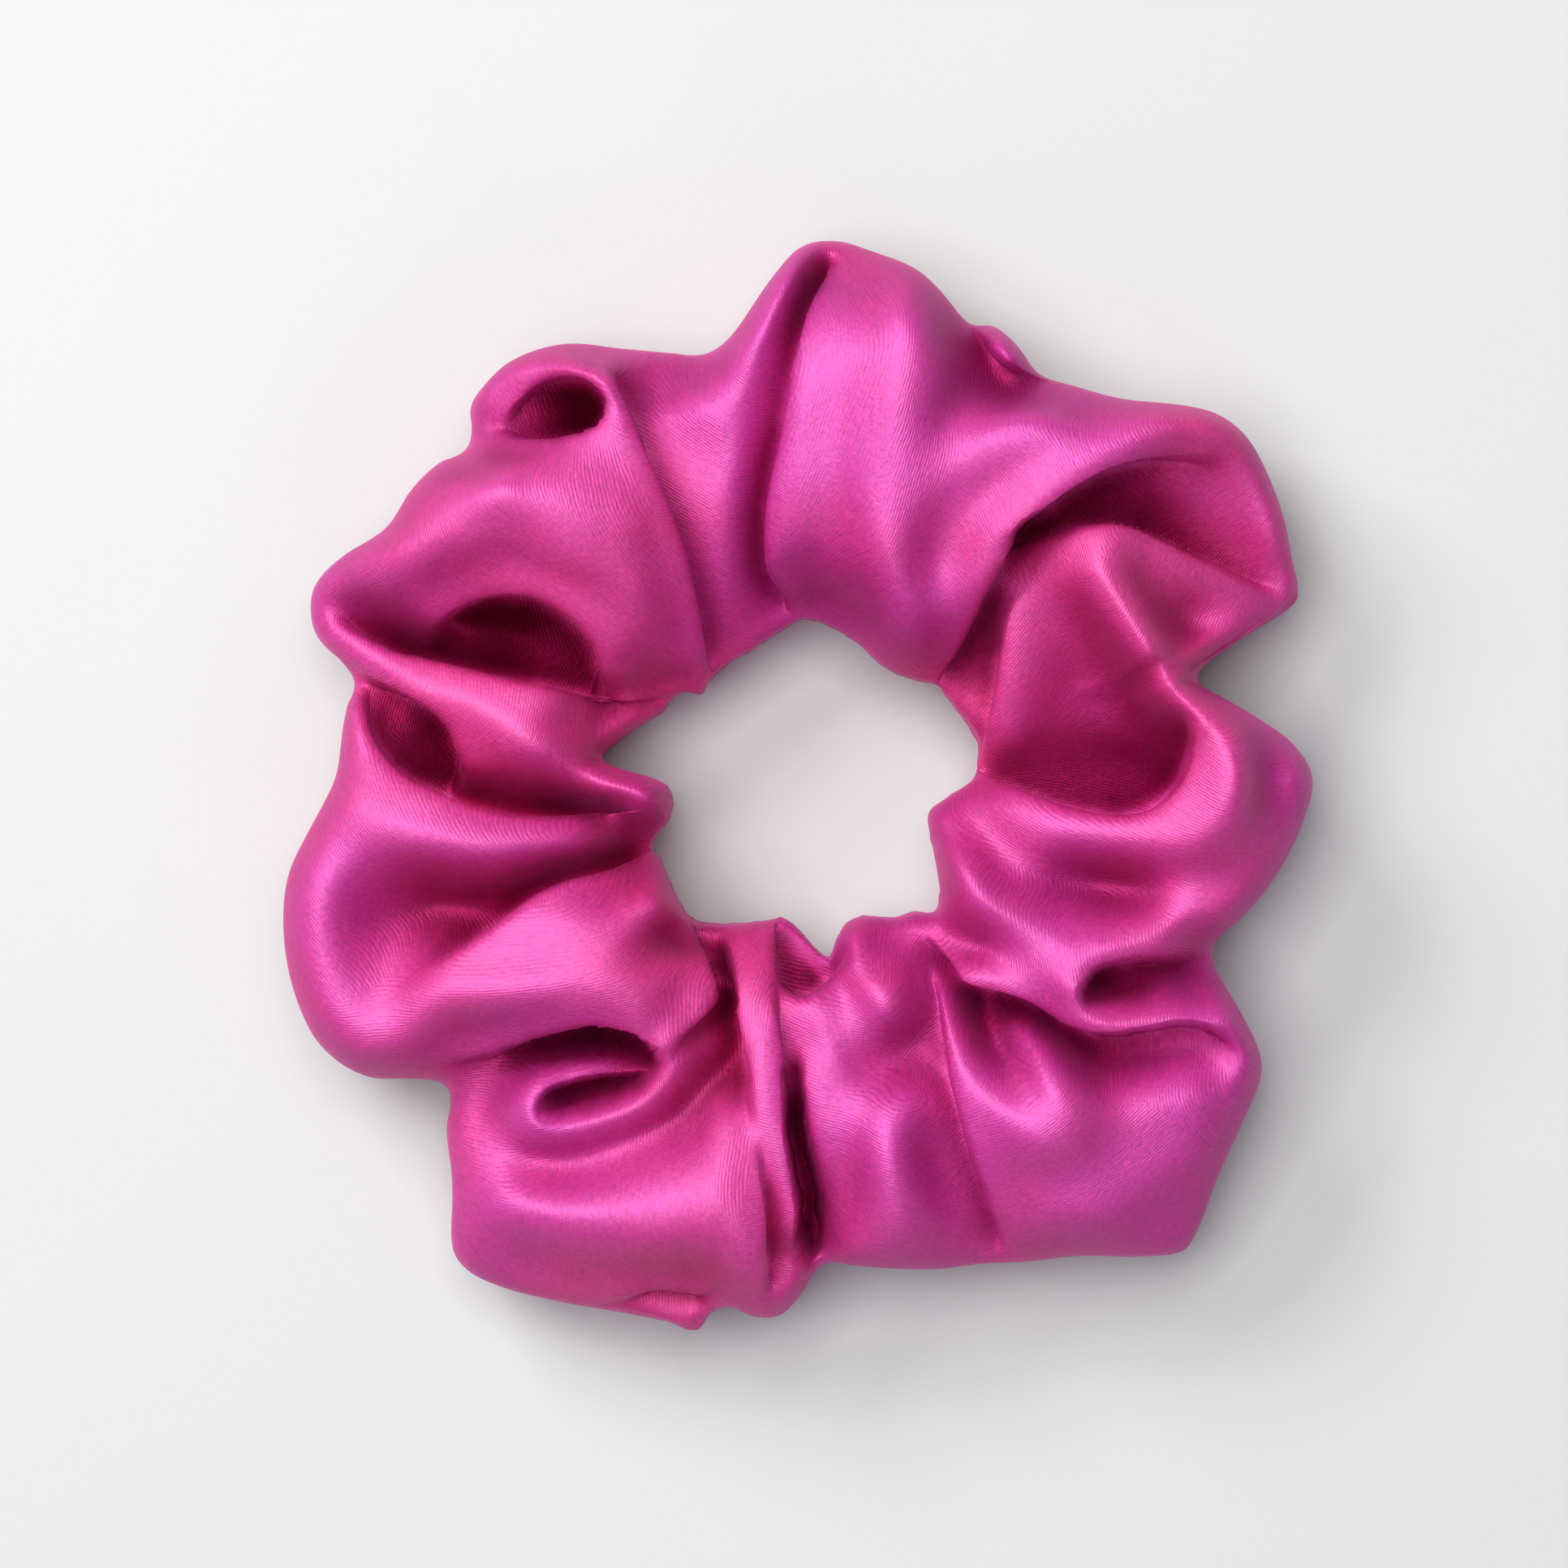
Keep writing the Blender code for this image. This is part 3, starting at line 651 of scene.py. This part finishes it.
def low_rows(azimuth, r_in, r_out):
    """(radius, height) of the side, the underside and the inner wall, up to the seam."""
    blur = np.ones(NOTCH_ROWS) / NOTCH_ROWS
    smooth = np.convolve(np.tile(r_out, 3), blur, "same")[N_AROUND:2 * N_AROUND]
    notch = NOTCH_RISE * np.clip((smooth - r_out) / NOTCH_DEPTH, 0, 1)[:, None]
    fold = folds_below(azimuth)[:, None]
    gather = pleats(azimuth)[:, None]
    side = np.linspace(0, np.pi / 2, N_SIDE + 1)[1:]
    side_r = r_out[:, None] - FOOT_IN * (1 - np.cos(side)) - FOLD_IN * fold * np.sin(2 * side) ** 2
    side_z = RIM_Z * (1 - np.sin(side)) + (notch + FOLD_RISE * fold) * np.sin(side) ** 4
    u = np.linspace(0, 1, N_UNDER + 1)[1:]
    foot, heel = r_out[:, None] - FOOT_IN, r_in[:, None] + HEEL_IN
    under_r = foot + (heel - foot) * u
    off = np.abs(under_r - ELASTIC_RADIUS - 1) - 4
    room = UNDER_ELASTIC + (UNDER_MOST - UNDER_ELASTIC) * np.clip(off / 6, 0, 1)
    folded = FOLD_RISE * fold + GATHER_RISE * np.abs(gather) * u**2
    under_z = np.minimum(notch * (1 - u) + folded, room)
    wall = np.linspace(0, np.pi / 2, N_WALL + 1)[1:]
    wall_r = r_in[:, None] + HEEL_IN * (1 - np.sin(wall)) + GATHER_WALL * gather * np.sin(2 * wall)
    wall_z = (SEAM_Z - 0.3) * (1 - np.cos(wall)) + under_z[:, -1:] * np.cos(wall) ** 2
    r = np.concatenate([side_r, under_r, wall_r], axis=1)
    z = np.concatenate([side_z, under_z, wall_z], axis=1)
    groove = GROOVE * closing_groove(azimuth, r)
    rise = np.clip(1 - z / 8, 0, 1)
    r += groove * (1 - rise) * np.where(np.arange(r.shape[1]) < N_SIDE, -1, 1)
    return r, z + groove * rise


def flap_heights(top, r):
    """Height of the upper seam allowance: level, or just under a pocket's cloth."""
    out = np.empty_like(r)
    reach = np.hypot(top[..., 0], top[..., 1])
    for i in range(len(r)):
        order = np.argsort(reach[i])
        nearby = [
            np.interp(r[i] + shift, reach[i, order], top[i, order, 2])
            for shift in (-1.6, -0.8, 0, 0.8, 1.6)
        ]
        out[i] = np.min(nearby, axis=0)
    out[:, :2] = out[:, 1:2]
    out = np.min([np.roll(out, shift, axis=0) for shift in range(-6, 7, 2)], axis=0)
    return np.minimum(out - ALLOWANCE_UNDER_TOP, SEAM_Z + 0.2)


def cover_grid():
    """The whole cloth: (points in mm, by rows round the ring and columns across), (its layers).

    The columns run from the upper allowance's free edge over the top, down the side, along the
    underside, up the inner wall and out to the lower allowance's free edge.
    """
    azimuth = CLOSING_AZIMUTH + np.linspace(0, 360, N_AROUND, endpoint=False)
    a = np.radians(azimuth)[:, None]
    r_in = ring_radius(INNER, azimuth)
    r_out = ring_radius(OUTER, azimuth)
    top = top_grid(azimuth, r_in, r_out)
    low_r, low_z = low_rows(azimuth, r_in, r_out)
    width = ALLOWANCE - ALLOWANCE_START
    flap_r = r_in[:, None] + ALLOWANCE_START + width * np.linspace(0, 1, N_FLAP)
    upper = flap_heights(top, flap_r)
    first, low, last = (
        np.stack([r * np.cos(a), r * np.sin(a), z], axis=2)
        for r, z in (
            (flap_r[:, ::-1], upper[:, ::-1]), (low_r, low_z), (flap_r, upper - BETWEEN_ALLOWANCES),
        )
    )
    grid = np.concatenate([first, top, low, last], axis=1)
    # Painted shade weight of each point: the hidden share of sky on the top, faded out towards both
    # edges, a small even value on the side, underside and wall, and a large one on the seam
    # allowances inside the tube.
    shade = np.full(grid.shape[:2], OPEN_SHADE)
    inside = np.clip(dome(top[..., 0], top[..., 1]) * 1.1, 0, 1)
    shade[:, N_FLAP:N_FLAP + N_TOP] += (painted_fold_shade(top) - OPEN_SHADE) * inside
    shade[:, :N_FLAP] = shade[:, -N_FLAP:] = FLAP_SHADE
    ribs = rib_direction(azimuth)[:, None] + 0 * shade[:, 1:]
    return grid, (("painted_fold_shade", "POINT", shade), ("ribs", "FACE", ribs))


def mesh_from_grid(name, grid, wrap, wrap_across=False):
    """A mesh object through a grid of points in mm, closed along its rows or columns if asked."""
    n, m = grid.shape[:2]
    mesh = bpy.data.meshes.new(name)
    i = np.arange(n if wrap else n - 1)[:, None]
    j = np.arange(m if wrap_across else m - 1)[None, :]
    k, l = (i + 1) % n, (j + 1) % m
    quads = np.stack([i * m + j, i * m + l, k * m + l, k * m + j], axis=2).reshape(-1, 4)
    mesh.vertices.add(n * m)
    mesh.vertices.foreach_set("co", (grid.reshape(-1, 3) * MM).astype(np.float32).ravel())
    mesh.loops.add(quads.size)
    mesh.loops.foreach_set("vertex_index", quads.ravel().astype(np.int32))
    mesh.polygons.add(len(quads))
    mesh.polygons.foreach_set("loop_start", np.arange(0, quads.size, 4, dtype=np.int32))
    mesh.update(calc_edges=True)
    mesh.validate()
    mesh.polygons.foreach_set("use_smooth", np.ones(len(mesh.polygons), bool))
    obj = bpy.data.objects.new(name, mesh)
    bpy.context.scene.collection.objects.link(obj)
    return obj


def tube(name, points, radius, closed, sides=6):
    """A thread: a round tube of this radius along the points, in mm."""
    p = np.array(points, float)
    along = np.roll(p, -1, axis=0) - np.roll(p, 1, axis=0)
    if not closed:
        along[0], along[-1] = p[1] - p[0], p[-1] - p[-2]
    along /= np.linalg.norm(along, axis=1)[:, None]
    up = np.where(np.abs(along[:, 2:]) < 0.95, (0.0, 0.0, 1.0), (1.0, 0.0, 0.0))
    first = np.cross(along, up)
    first /= np.linalg.norm(first, axis=1)[:, None]
    second = np.cross(along, first)
    turn = np.linspace(0, 2 * np.pi, sides, endpoint=False)[None, :, None]
    ring = first[:, None] * np.cos(turn) + second[:, None] * np.sin(turn)
    return mesh_from_grid(name, p[:, None] + ring * radius, closed, True)


# ---------------------------------------------------------------- materials
class Nodes:
    """Short ways to add shader nodes to one material."""

    def __init__(self, name):
        self.material = bpy.data.materials.new(name)
        self.material.use_nodes = True
        self.tree = self.material.node_tree
        self.shader = self.tree.nodes["Principled BSDF"]

    def link(self, out, into):
        self.tree.links.new(out, into)

    def add(self, kind, **inputs):
        node = self.tree.nodes.new("ShaderNode" + kind)
        for name, value in inputs.items():
            socket = node.inputs[name.replace("_", " ")]
            if hasattr(value, "is_output"):
                self.link(value, socket)
            else:
                socket.default_value = value
        return node

    def attribute(self, name):
        node = self.add("Attribute")
        node.attribute_name = name
        return node.outputs["Fac"]

    def maths(self, operation, a, b=0.0, c=0.0):
        node = self.tree.nodes.new("ShaderNodeMath")
        node.operation = operation
        for socket, value in zip(node.inputs, (a, b, c)):
            if hasattr(value, "is_output"):
                self.link(value, socket)
            else:
                socket.default_value = value
        return node.outputs[0]

    def ramp(self, factor, stops):
        node = self.tree.nodes.new("ShaderNodeValToRGB")
        self.link(factor, node.inputs["Fac"])
        elements = node.color_ramp.elements
        elements[0].position, elements[0].color = stops[0][0], (*stops[0][1], 1)
        elements[1].position, elements[1].color = stops[-1][0], (*stops[-1][1], 1)
        for position, colour in stops[1:-1]:
            elements.new(position).color = (*colour, 1)
        return node.outputs["Color"]

    def mix(self, factor, a, b, blend="MIX"):
        node = self.tree.nodes.new("ShaderNodeMix")
        node.data_type = "RGBA"
        node.blend_type = blend
        for socket, value in zip((node.inputs[0], node.inputs[6], node.inputs[7]), (factor, a, b)):
            if hasattr(value, "is_output"):
                self.link(value, socket)
            else:
                socket.default_value = value
        return node.outputs[2]


def satin():
    """Magenta satin: fine ribs along each panel's grain, and shade painted into the colour deep in a
    fold, where the reflection is also dimmed and takes the darkened colour.
    """
    n = Nodes("magenta_satin_cloth")
    place = n.add("TexCoord").outputs["Object"]
    axes = n.add("SeparateXYZ", Vector=place)
    x, y, z = (axes.outputs[i] for i in range(3))
    ribs = n.attribute("ribs")
    cos, sin = n.maths("COSINE", ribs), n.maths("SINE", ribs)
    across = n.maths("ADD", n.maths("MULTIPLY", x, cos), n.maths("MULTIPLY", y, sin))
    across = n.maths("ADD", across, n.maths("MULTIPLY", z, 0.6))
    along = n.maths("SUBTRACT", n.maths("MULTIPLY", y, cos), n.maths("MULTIPLY", x, sin))
    drift = n.add("TexNoise", Vector=place, Scale=140.0, Detail=2.0).outputs["Fac"]
    across = n.maths("ADD", across, n.maths("MULTIPLY", drift, 0.0007))
    lines = n.maths("SINE", n.maths("MULTIPLY", across, 2 * math.pi / RIB_PITCH))
    streak_place = n.add("CombineXYZ", X=n.maths("DIVIDE", across, RIB_PITCH),
                         Y=n.maths("DIVIDE", along, RIB_PITCH * 4), Z=0.0)
    streak = n.add("TexNoise", Vector=streak_place.outputs[0], Scale=1.0, Detail=3.0,
                   Roughness=0.65).outputs["Fac"]
    grain = n.add("TexNoise", Vector=place, Scale=1900.0, Detail=2.0, Roughness=0.7)
    grain = grain.outputs["Fac"]
    broad = n.add("TexNoise", Vector=place, Scale=32.0, Detail=3.0, Roughness=0.5)
    depth = n.attribute("painted_fold_shade")
    open_colour = n.ramp(broad.outputs["Fac"], (
        (0.38, (0.52, 0.029, 0.182)), (0.62, (0.455, 0.025, 0.235)),
    ))
    # Painted shade: the colour darkens and reddens with the hidden share of sky deep in a fold.
    painted_shade_colour = n.ramp(depth, (
        (0.0, (1.0, 1.0, 1.0)), (0.25, (0.85, 0.6, 0.72)), (0.5, (0.45, 0.14, 0.26)),
        (0.8, (0.14, 0.02, 0.05)),
    ))
    colour = n.mix(1.0, open_colour, painted_shade_colour, "MULTIPLY")
    tone = n.maths("ADD", n.maths("MULTIPLY", lines, 0.05), n.maths("MULTIPLY", streak, 0.6))
    tone = n.maths("ADD", tone, n.maths("MULTIPLY", grain, 0.7))
    tone = n.maths("ADD", tone, 0.35)
    tint = n.add("CombineColor", Red=tone, Green=tone, Blue=tone).outputs[0]
    n.link(n.mix(1.0, colour, tint, "MULTIPLY"), n.shader.inputs["Base Color"])
    shader = n.shader.inputs
    shader["Roughness"].default_value = 0.54
    shader["IOR"].default_value = 2.0
    # Painted shade also lowers the reflection deep in a fold and turns it metallic, so that it takes
    # the darkened colour instead of grey.
    gloss = n.maths("MAXIMUM", n.maths("SUBTRACT", 0.55, n.maths("MULTIPLY", depth, 0.8)), 0.12)
    n.link(gloss, shader["Specular IOR Level"])
    tinted = n.maths("MULTIPLY_ADD", depth, 1.5, -0.15)
    tinted = n.maths("MINIMUM", n.maths("MAXIMUM", tinted, 0.12), 0.95)
    n.link(tinted, shader["Metallic"])
    shader["Specular Tint"].default_value = (1.0, 0.5, 1.0, 1)
    shader["Sheen Weight"].default_value = 0.22
    shader["Sheen Roughness"].default_value = 0.4
    shader["Sheen Tint"].default_value = (1.0, 0.12, 0.5, 1)
    height = n.maths("ADD", n.maths("MULTIPLY", lines, 0.35), n.maths("MULTIPLY", streak, 2.6))
    height = n.maths("ADD", height, n.maths("MULTIPLY", grain, 2.2))
    bump = n.add("Bump", Strength=0.5, Distance=0.00006, Height=height)
    n.link(bump.outputs["Normal"], shader["Normal"])
    return n.material


def plain(name, colour, roughness):
    """One even colour."""
    n = Nodes(name)
    n.shader.inputs["Base Color"].default_value = (*colour, 1)
    n.shader.inputs["Roughness"].default_value = roughness
    return n.material


def yarn(name, colour, roughness):
    """Thread or elastic: one colour, a little uneven from fibre to fibre."""
    n = Nodes(name)
    place = n.add("TexCoord").outputs["Object"]
    noise = n.add("TexNoise", Vector=place, Scale=5000.0, Detail=2.0)
    tone = n.ramp(noise.outputs["Fac"], (
        (0.3, tuple(0.75 * c for c in colour)), (0.7, colour),
    ))
    n.link(tone, n.shader.inputs["Base Color"])
    n.shader.inputs["Roughness"].default_value = roughness
    n.shader.inputs["Sheen Weight"].default_value = 0.3
    bump = n.add("Bump", Strength=0.4, Distance=0.00005, Height=noise.outputs["Fac"])
    n.link(bump.outputs["Normal"], n.shader.inputs["Normal"])
    return n.material


# ---------------------------------------------------------------- camera, lights and floor
def camera():
    """Straight above the ring, as wide as the frame at the height of its rim."""
    data = bpy.data.cameras.new("camera")
    obj = bpy.data.objects.new("camera", data)
    bpy.context.scene.collection.objects.link(obj)
    obj.location = (-0.0017, 0.00027, CAMERA_HEIGHT)
    obj.rotation_euler = (0, 0, 0)
    data.sensor_width = 36
    data.lens = data.sensor_width * (CAMERA_HEIGHT - RIM_Z * MM) / FRAME_WIDTH
    bpy.context.scene.camera = obj


def area(name, location, size, energy, colour=(1, 1, 1)):
    """A soft rectangular light that faces the origin."""
    data = bpy.data.lights.new(name, "AREA")
    data.shape = "RECTANGLE"
    data.size, data.size_y = size
    data.energy = energy
    data.color = colour
    obj = bpy.data.objects.new(name, data)
    obj.location = location
    obj.rotation_euler = (-Vector(location)).to_track_quat("-Z", "Y").to_euler()
    bpy.context.scene.collection.objects.link(obj)


def stage():
    """A plain pale floor, a dim even sky and three soft lights."""
    mesh = bpy.data.meshes.new("floor")
    s = FLOOR_HALF
    mesh.from_pydata([(-s, -s, 0), (s, -s, 0), (s, s, 0), (-s, s, 0)], [], [(0, 1, 2, 3)])
    obj = bpy.data.objects.new("floor", mesh)
    bpy.context.scene.collection.objects.link(obj)
    obj.data.materials.append(plain("pale_floor", (0.49, 0.495, 0.485), 0.7))
    world = bpy.data.worlds.new("world")
    bpy.context.scene.world = world
    world.use_nodes = True
    sky = world.node_tree.nodes["Background"].inputs
    sky["Color"].default_value = (0.92, 0.92, 1, 1)
    sky["Strength"].default_value = 0.24
    area("overhead", (-0.2, 0.16, 1.2), (1.0, 0.7), 16)
    area("window", (-0.65, 0.6, 0.75), (0.6, 0.4), 11)
    area("fill", (0.2, -0.7, 0.7), (0.5, 0.3), 1.2, (0.75, 0.6, 1.0))


# ---------------------------------------------------------------- pieces
def satin_cover():
    """The satin, thickened from its grid. Returns the grid, which the threads follow."""
    grid, layers = cover_grid()
    cover = mesh_from_grid("satin_cover_cloth", grid, True)
    for name, domain, values in layers:
        layer = cover.data.attributes.new(name, "FLOAT", domain)
        layer.data.foreach_set("value", values.astype(np.float32).ravel())
    cover.data.materials.append(satin())
    thick = cover.modifiers.new("thickness", "SOLIDIFY")
    thick.thickness = CLOTH * MM
    thick.offset = -1
    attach(cover, "cover")
    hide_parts("satin_cover")
    return grid


def tube_seam_stitches(name, node, grid, side, material):
    """One thread of the long seam's lockstitch: side is 1 on the upper allowance, or -1."""
    column = (SEAM_STITCH_IN - ALLOWANCE_START) / (ALLOWANCE - ALLOWANCE_START) * (N_FLAP - 1)
    flap = grid[:, N_FLAP - 1::-1] if side > 0 else grid[:, -N_FLAP:]
    j, share = int(column), column - int(column)
    line = flap[:, j] * (1 - share) + flap[:, j + 1] * share
    count = SEAM_STITCHES * STITCH_STEPS
    at = np.arange(count) / count * len(line)
    i = at.astype(int)
    t = (at - i)[:, None]
    points = line[i] * (1 - t) + line[(i + 1) % len(line)] * t
    off = CLOTH + THREAD + 0.04
    dip = np.where(np.arange(count) % STITCH_STEPS == 0, off * 0.75, 0)
    points[:, 2] += side * (off - dip)
    made = tube(name, points, THREAD, True)
    made.data.materials.append(material)
    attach(made, "cover")
    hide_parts(node)


def closing_stitches(grid, material):
    """Small slanting stitches over the closing seam, down the side and underneath."""
    first, last = N_FLAP + N_TOP + 3, grid.shape[1] - N_FLAP - 3
    line, left, right = (grid[i, first:last] for i in (0, -STITCH_REACH, STITCH_REACH))
    run = np.concatenate([[0], np.cumsum(np.linalg.norm(np.diff(line, axis=0), axis=1))])
    ends = 2 * int(run[-1] / CLOSING_STITCH)
    points = []
    for k in range(ends):
        j = int(np.clip(np.searchsorted(run, run[-1] * (k + 0.5) / ends), 1, len(line) - 2))
        out = np.cross(line[j + 1] - line[j - 1], right[j] - left[j])
        out /= np.linalg.norm(out)
        hole = right[j] if k % 2 else left[j]
        over, under = hole + out * 0.12, hole - out * 0.5
        points += [over, under] if k % 2 else [under, over]
    made = tube("closing_seam_stitches", points, THREAD * 0.8, False)
    made.data.materials.append(material)
    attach(made, "cover")
    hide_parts("closing_seam_thread")


def capped(obj):
    """Closes the open ends of a mesh."""
    bm = bmesh.new()
    bm.from_mesh(obj.data)
    bmesh.ops.holes_fill(bm, edges=bm.edges, sides=0)
    bmesh.ops.recalc_face_normals(bm, faces=bm.faces)
    bm.to_mesh(obj.data)
    bm.free()


def elastic_band(material):
    """Flat braided elastic: a loop with its ends lapped, ribbed along and plaited across."""
    lap = math.degrees(ELASTIC_LAP / ELASTIC_RADIUS)
    total = 360 + lap
    turn = np.linspace(0, total, 1100)[:, None]
    azimuth = np.radians(CLOSING_AZIMUTH - lap / 2 + turn)
    across = np.linspace(-1, 1, 41)
    edge = np.sqrt(1 - np.abs(across) ** 14)
    rib = 0.5 - 0.5 * np.cos(2 * np.pi * ELASTIC_RIBS * (across + 1) / 2)
    lean = np.where((((across + 1) / 2 * ELASTIC_RIBS).astype(int) % 2) > 0, 1.0, -1.0)
    run = np.radians(turn) * ELASTIC_RADIUS
    plait = np.sin(2 * np.pi * (run + lean * across * 0.9) / PLAIT)
    thick = (ELASTIC_THICK / 2 - 0.09 + 0.06 * rib + 0.03 * plait * rib) * edge
    middle = ELASTIC_RADIUS + ELASTIC_SPREAD * (turn / total - 0.5)
    z = ELASTIC_BOTTOM + ELASTIC_WIDTH / 2 * (1 + across) + 0 * thick
    radius = np.concatenate([middle + thick, (middle - thick)[:, -2:0:-1]], axis=1)
    z = np.concatenate([z, z[:, -2:0:-1]], axis=1)
    grid = np.stack([
        HOLE_CENTRE[0] + radius * np.cos(azimuth), HOLE_CENTRE[1] + radius * np.sin(azimuth), z,
    ], axis=2)
    band = mesh_from_grid("elastic_band_braid", grid, False, True)
    capped(band)
    band.data.materials.append(material)
    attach(band, "elastic")
    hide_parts("elastic_band")


def tack_threads(material):
    """The bar tack on the elastic's lap is shown by its CAD solids."""
    for node in ("elastic_join_needle_thread", "elastic_join_bobbin_thread"):
        for slot in bpy.data.objects[node].material_slots:
            slot.material = material


def build():
    bpy.context.scene.view_settings.view_transform = "Standard"
    camera()
    stage()
    grid = satin_cover()
    thread = yarn("magenta_sewing_thread", (0.5, 0.02, 0.2), 0.55)
    tube_seam_stitches("tube_seam_needle_stitches", "tube_seam_needle_thread",
                       grid, 1, thread)
    tube_seam_stitches("tube_seam_bobbin_stitches", "tube_seam_bobbin_thread",
                       grid, -1, thread)
    closing_stitches(grid, thread)
    elastic_band(yarn("white_braided_elastic", (0.8, 0.79, 0.76), 0.75))
    tack_threads(yarn("white_tack_thread", (0.82, 0.81, 0.79), 0.6))


build()
